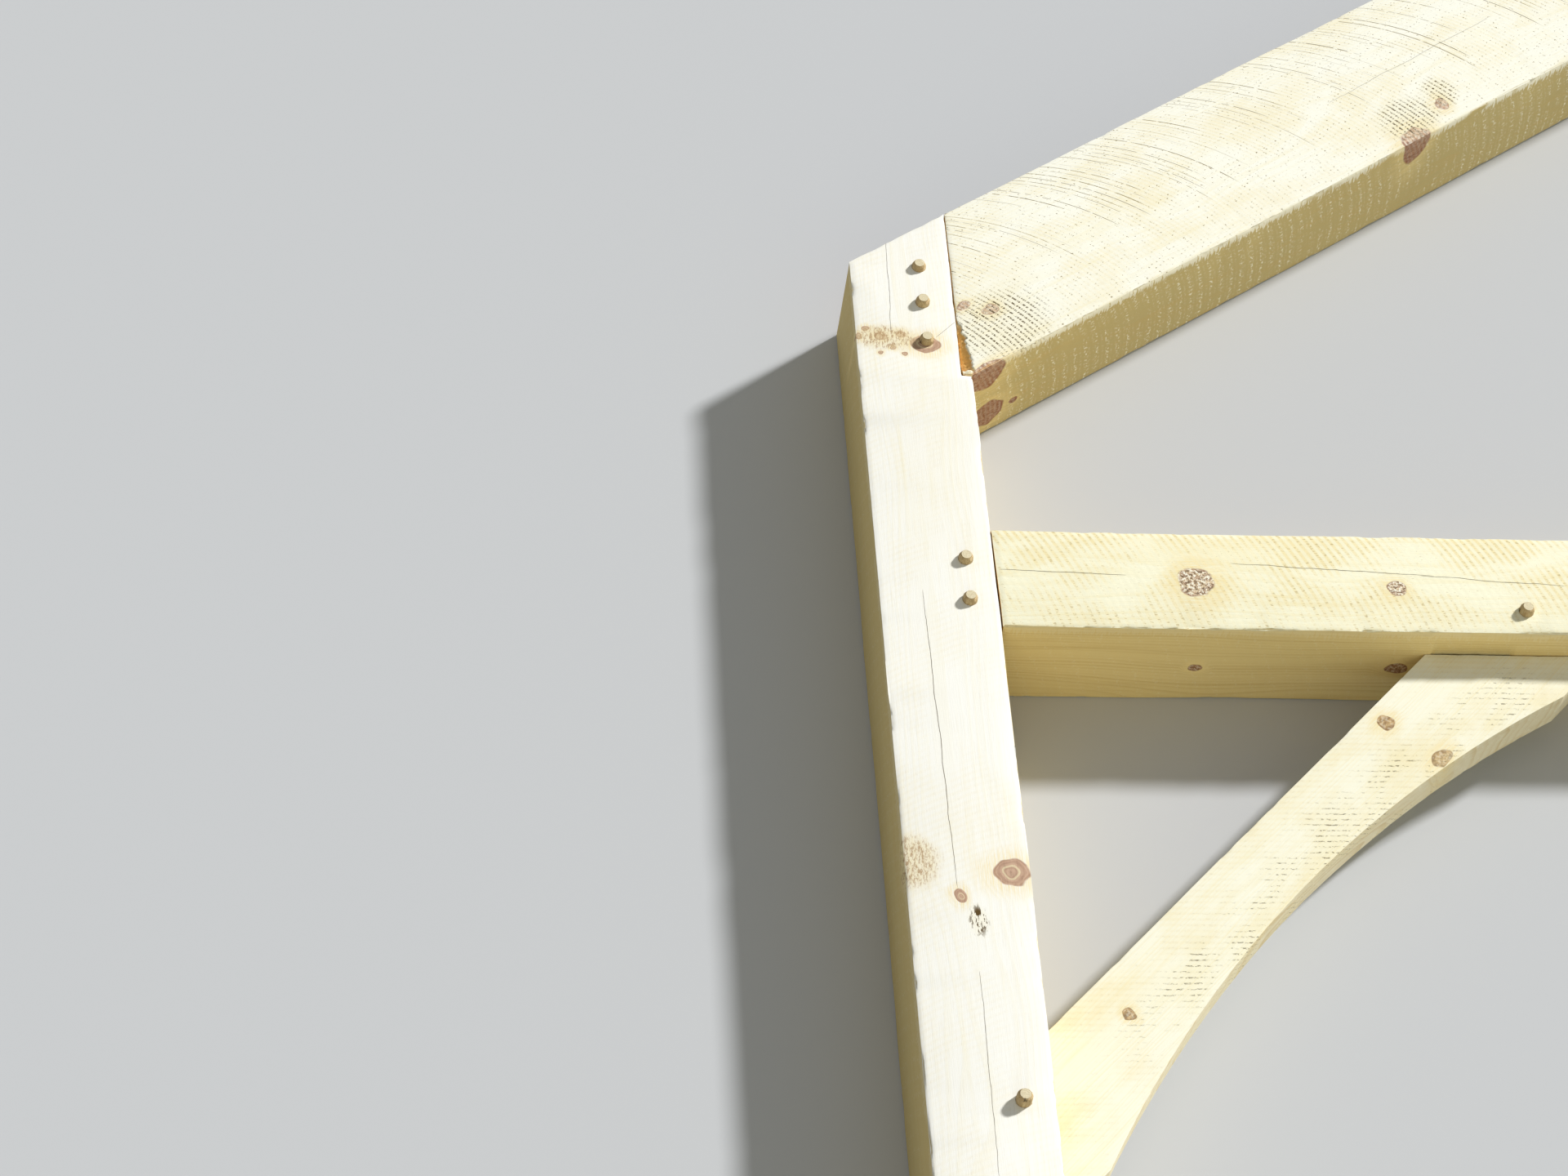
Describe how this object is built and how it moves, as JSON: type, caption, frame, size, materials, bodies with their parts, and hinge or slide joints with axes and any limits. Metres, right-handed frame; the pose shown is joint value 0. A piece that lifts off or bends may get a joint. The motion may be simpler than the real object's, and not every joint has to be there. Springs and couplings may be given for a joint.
{
  "type": "wooden roof truss",
  "caption": "Pegged timber roof truss: sloping rafters housed into eave posts and a king post, a tie beam between the posts, and curved knee braces under it.",
  "frame": {"origin": "middle of the rectangle that the truss covers, on the floor that its back lies on", "axes": "+X along the span to the right seen from the front, +Y up the truss from the posts' feet to the ridge, +Z from its back to its front, where the pegs stand out"},
  "size_m": [6.7056, 5.1478, 0.2248],
  "materials": {
    "timber": "rough sawn, unfinished pale pine",
    "peg_wood": "turned hardwood, unfinished"
  },
  "bodies": {
    "root": {"king_post": "timber", "king_post_peg_1": "peg_wood", "king_post_peg_2": "peg_wood", "left_brace": "timber", "left_brace_foot_peg_1": "peg_wood", "left_brace_head_peg_1": "peg_wood", "left_post": "timber", "left_rafter": "timber", "left_rafter_foot_peg_1": "peg_wood", "left_rafter_foot_peg_2": "peg_wood", "left_rafter_foot_peg_3": "peg_wood", "left_rafter_head_peg_1": "peg_wood", "left_rafter_head_peg_2": "peg_wood", "left_rafter_head_peg_3": "peg_wood", "left_tie_peg_1": "peg_wood", "left_tie_peg_2": "peg_wood", "right_brace": "timber", "right_brace_foot_peg_1": "peg_wood", "right_brace_head_peg_1": "peg_wood", "right_post": "timber", "right_rafter": "timber", "right_rafter_foot_peg_1": "peg_wood", "right_rafter_foot_peg_2": "peg_wood", "right_rafter_foot_peg_3": "peg_wood", "right_rafter_head_peg_1": "peg_wood", "right_rafter_head_peg_2": "peg_wood", "right_rafter_head_peg_3": "peg_wood", "right_tie_peg_1": "peg_wood", "right_tie_peg_2": "peg_wood", "tie_beam": "timber"}
  },
  "joints": []
}
